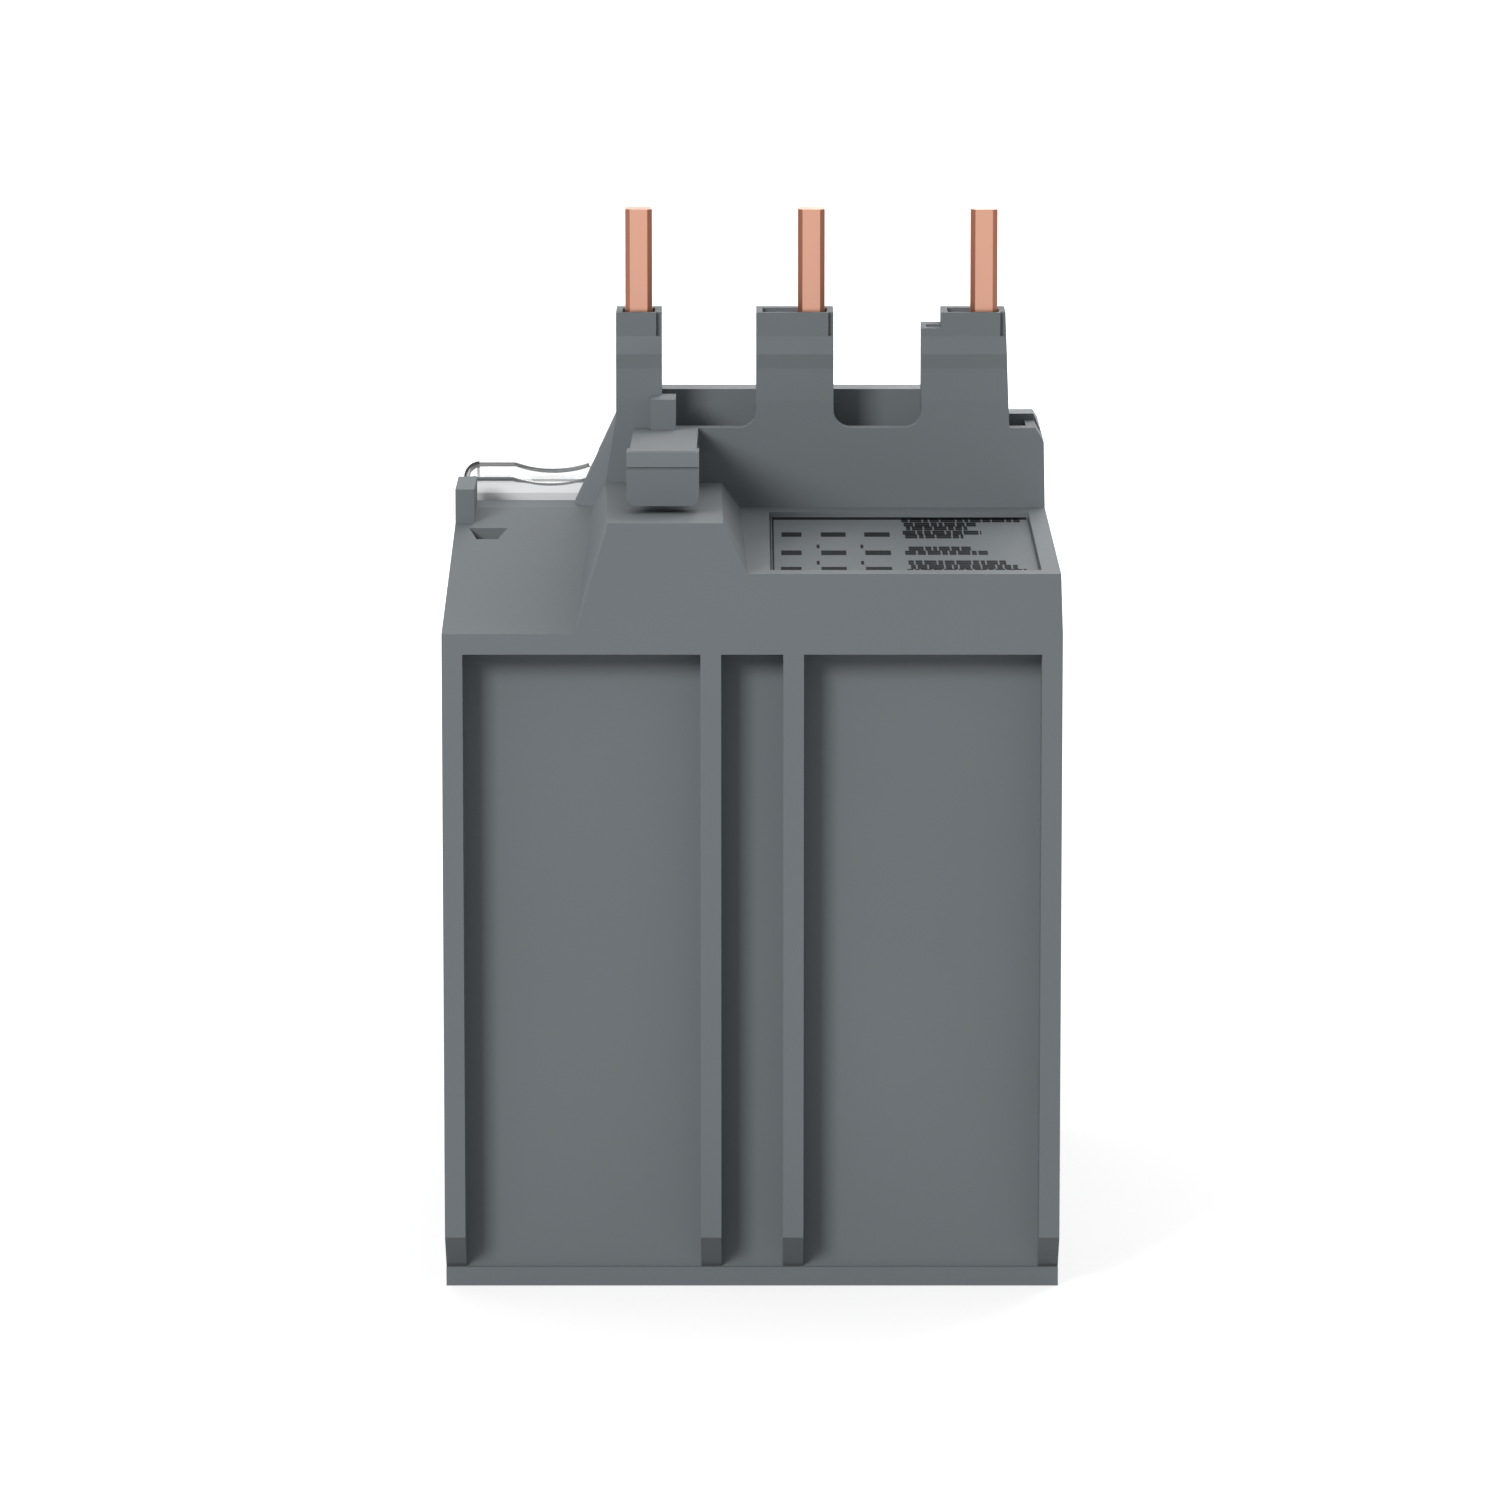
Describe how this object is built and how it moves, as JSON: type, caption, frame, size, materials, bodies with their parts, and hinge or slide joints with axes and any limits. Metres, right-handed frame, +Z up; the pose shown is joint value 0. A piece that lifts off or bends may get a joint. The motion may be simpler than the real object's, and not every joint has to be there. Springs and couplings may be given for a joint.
{
  "type": "thermal overload relay",
  "caption": "Three-pole thermal overload relay with plug-in line pins, latch arm, setting dial and test button under a hinged clear cover, stop and reset buttons.",
  "frame": {"origin": "bottom centre of the bounding box", "axes": "+Z up, +X to the right seen from the front, the operating front faces -Y and the ribbed mounting back faces +Y"},
  "size_m": [0.045, 0.07, 0.076],
  "materials": {
    "body_plastic": "fine spark-eroded moulding texture, satin",
    "front_plastic": "fine spark-eroded moulding texture, satin",
    "inner_plastic": "smooth moulded",
    "label_film": "printed film, satin",
    "copper": "bright drawn copper",
    "brass_strip": "rolled brass strip with silver points",
    "bimetal": "rolled strip",
    "heater_alloy": "dull resistance alloy",
    "insulation": "woven glass sleeve",
    "plated_steel": "zinc plated",
    "spring_steel": "drawn wire",
    "flag_plastic": "moulded",
    "dial_plastic": "moulded, moulded scale",
    "reset_plastic": "moulded",
    "stop_plastic": "moulded",
    "test_plastic": "moulded",
    "clear_plastic": "clear polished",
    "black_pin": "moulded"
  },
  "bodies": {
    "root": {"rear_housing": "body_plastic", "power_block": "body_plastic", "front_housing": "front_plastic", "rating_label": "label_film", "line_conductor_l1": "copper", "load_conductor_t1": "copper", "terminal_cage_t1": "plated_steel", "line_conductor_l2": "copper", "load_conductor_t2": "copper", "terminal_cage_t2": "plated_steel", "line_conductor_l3": "copper", "load_conductor_t3": "copper", "terminal_cage_t3": "plated_steel", "load_screws": "plated_steel", "aux_screws": "plated_steel", "aux_washers": "plated_steel", "trip_lever_pin": "plated_steel", "setting_lever_pin": "plated_steel", "nc_conductor_front": "brass_strip", "nc_conductor_rear": "brass_strip", "no_conductor_front": "brass_strip", "no_conductor_rear": "brass_strip", "mechanism_plate": "inner_plastic", "lever_bracket": "plated_steel", "reset_spring": "spring_steel", "stop_spring": "spring_steel", "test_spring": "spring_steel"},
    "main_slide": {"main_slide": "inner_plastic", "differential_lever": "inner_plastic", "differential_pin": "plated_steel"},
    "differential_slide": {"differential_slide": "inner_plastic"},
    "trip_lever": {"trip_lever": "inner_plastic", "compensation_strip": "bimetal"},
    "contact_carrier": {"contact_carrier": "inner_plastic", "trip_flag": "flag_plastic", "nc_bridge": "brass_strip", "no_bridge": "brass_strip"},
    "setting_dial": {"setting_dial": "dial_plastic", "setting_cam": "inner_plastic"},
    "setting_lever": {"setting_lever": "inner_plastic"},
    "reset_collar": {"reset_collar": "body_plastic"},
    "reset_button": {"reset_button": "reset_plastic"},
    "stop_button": {"stop_button": "stop_plastic"},
    "test_button": {"test_button": "test_plastic"},
    "clear_cover": {"clear_cover": "clear_plastic", "cover_hinge_pins": "black_pin"},
    "bimetal_l1": {"bimetal_strip_l1": "bimetal", "insulating_sleeve_l1": "insulation", "heater_winding_l1": "heater_alloy"},
    "bimetal_l2": {"bimetal_strip_l2": "bimetal", "insulating_sleeve_l2": "insulation", "heater_winding_l2": "heater_alloy"},
    "bimetal_l3": {"bimetal_strip_l3": "bimetal", "insulating_sleeve_l3": "insulation", "heater_winding_l3": "heater_alloy"}
  },
  "joints": [
    {"name": "main_slide_travel", "type": "slide", "parent": "root", "child": "main_slide", "axis": [1, 0, 0], "range_m": [0, 0.0024]},
    {"name": "differential_slide_travel", "type": "slide", "parent": "root", "child": "differential_slide", "axis": [1, 0, 0], "range_m": [0, 0.0024]},
    {"name": "bimetal_l1_bend", "type": "hinge", "parent": "root", "child": "bimetal_l1", "pos_m": [0.00864, 0.0065, 0.019], "axis": [0, 1, 0], "range_deg": [0, 5.78]},
    {"name": "bimetal_l2_bend", "type": "hinge", "parent": "root", "child": "bimetal_l2", "pos_m": [-0.00451, 0.0065, 0.019], "axis": [0, 1, 0], "range_deg": [0, 5.78]},
    {"name": "bimetal_l3_bend", "type": "hinge", "parent": "root", "child": "bimetal_l3", "pos_m": [-0.01766, 0.0065, 0.019], "axis": [0, 1, 0], "range_deg": [0, 5.78]},
    {"name": "trip_lever_swing", "type": "hinge", "parent": "root", "child": "trip_lever", "pos_m": [0.0164, -0.012, 0.036], "axis": [0, 1, 0], "range_deg": [0, 14.95]},
    {"name": "contact_carrier_travel", "type": "slide", "parent": "root", "child": "contact_carrier", "axis": [-1, 0, 0], "range_m": [0, 0.0015]},
    {"name": "cover_swing", "type": "hinge", "parent": "root", "child": "clear_cover", "pos_m": [0.01725, -0.00745, 0.0527], "axis": [-1, 0, 0], "range_deg": [0, 95]},
    {"name": "dial_turn", "type": "hinge", "parent": "root", "child": "setting_dial", "pos_m": [0.01725, -0.031, 0.0438], "axis": [0, 1, 0], "range_deg": [0, 270]},
    {"name": "setting_lever_swing", "type": "hinge", "parent": "root", "child": "setting_lever", "pos_m": [0.0132, -0.023, 0.0384], "axis": [0, 1, 0], "range_deg": [-8.49, 0]},
    {"name": "reset_turn", "type": "hinge", "parent": "root", "child": "reset_collar", "pos_m": [0, -0.031, 0.043], "axis": [0, 1, 0], "range_deg": [0, 90]},
    {"name": "reset_push", "type": "slide", "parent": "reset_collar", "child": "reset_button", "axis": [0, 1, 0], "range_m": [0, 0.0022], "stiffness_N_per_m": 200, "deforming": ["reset_spring"]},
    {"name": "stop_push", "type": "slide", "parent": "root", "child": "stop_button", "axis": [0, 1, 0], "range_m": [0, 0.0022], "stiffness_N_per_m": 200, "deforming": ["stop_spring"]},
    {"name": "test_push", "type": "slide", "parent": "root", "child": "test_button", "axis": [0, 1, 0], "range_m": [0, 0.0015], "stiffness_N_per_m": 150, "deforming": ["test_spring"]}
  ],
  "couplings": [
    {"joint": "differential_slide_travel", "follows": "main_slide_travel", "ratio": 1},
    {"joint": "trip_lever_swing", "follows": "main_slide_travel", "rad_per_m": 108.7},
    {"joint": "contact_carrier_travel", "follows": "main_slide_travel", "ratio": 0.625},
    {"joint": "setting_lever_swing", "follows": "dial_turn", "ratio": -0.031438},
    {"joint": "bimetal_l1_bend", "follows": "main_slide_travel", "rad_per_m": 42.017},
    {"joint": "bimetal_l2_bend", "follows": "main_slide_travel", "rad_per_m": 42.017},
    {"joint": "bimetal_l3_bend", "follows": "main_slide_travel", "rad_per_m": 42.017}
  ]
}
